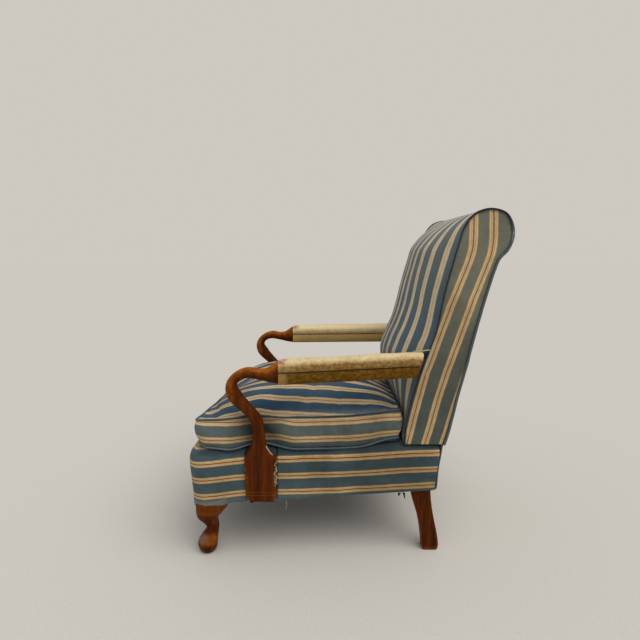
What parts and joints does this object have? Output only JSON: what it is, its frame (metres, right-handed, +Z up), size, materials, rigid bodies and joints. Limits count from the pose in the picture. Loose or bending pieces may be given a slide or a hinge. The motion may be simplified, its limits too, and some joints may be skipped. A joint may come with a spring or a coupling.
{
  "type": "upholstered armchair",
  "caption": "Open-arm easy chair with a rolled stuffed back, loose striped cushion, shepherd's crook arm supports, velvet arm pads and short carved legs, sagging and worn.",
  "frame": {"origin": "on the floor, in the middle of the chair's bounding box seen from above", "axes": "+Z up, -Y to the front, +X to the sitter's left"},
  "size_m": [0.6538, 0.8479, 0.9408],
  "materials": {
    "striped_fabric": "woven slate blue stripe with cream bands, faded and worn",
    "piping_fabric": "dark navy piping, rubbed pale in places",
    "arm_velvet": "bald, sun-bleached velvet",
    "arm_velvet_border": "ochre brown velvet",
    "mahogany": "reddish brown, satin, chipped at the edges",
    "beech": "plain sawn frame timber",
    "webbing": "jute webbing",
    "hessian": "open jute cloth",
    "stuffing": "matted fibre",
    "calico": "plain cotton",
    "black_cloth": "thin black cloth, frayed",
    "steel": "dull wire and screws"
  },
  "bodies": {
    "root": {"left_rear_leg_post": "mahogany", "left_front_leg": "mahogany", "left_arm_support": "mahogany", "left_side_rail": "beech", "left_front_corner_block": "beech", "left_rear_corner_block": "beech", "left_arm_rail": "beech", "left_arm_dowel": "beech", "left_arm_screw_1": "steel", "left_arm_screw_2": "steel", "left_arm_pad": "arm_velvet", "left_arm_border": "arm_velvet_border", "left_back_side_panel": "striped_fabric", "left_back_piping": "piping_fabric", "right_rear_leg_post": "mahogany", "right_front_leg": "mahogany", "right_arm_support": "mahogany", "right_side_rail": "beech", "right_front_corner_block": "beech", "right_rear_corner_block": "beech", "right_arm_rail": "beech", "right_arm_dowel": "beech", "right_arm_screw_1": "steel", "right_arm_screw_2": "steel", "right_arm_pad": "arm_velvet", "right_arm_border": "arm_velvet_border", "right_back_side_panel": "striped_fabric", "right_back_piping": "piping_fabric", "front_rail": "beech", "back_rail": "beech", "crest_rail": "beech", "stay_rail": "beech", "seat_border": "striped_fabric", "seat_cushion": "striped_fabric", "cushion_top_welt": "striped_fabric", "cushion_bottom_welt": "striped_fabric", "inside_back_cover": "striped_fabric", "outside_back_cover": "striped_fabric", "seat_webbing_across_1": "webbing", "seat_webbing_across_2": "webbing", "seat_webbing_across_3": "webbing", "seat_webbing_along_1": "webbing", "seat_webbing_along_2": "webbing", "seat_webbing_along_3": "webbing", "back_webbing_1": "webbing", "back_webbing_2": "webbing", "back_webbing_3": "webbing", "seat_spring_1": "steel", "seat_spring_2": "steel", "seat_spring_3": "steel", "seat_spring_4": "steel", "seat_spring_5": "steel", "seat_spring_6": "steel", "seat_hessian": "hessian", "back_hessian": "hessian", "front_edge_roll": "hessian", "seat_stuffing": "stuffing", "back_stuffing": "stuffing", "seat_deck_cloth": "calico", "dust_cover": "black_cloth"}
  },
  "joints": []
}
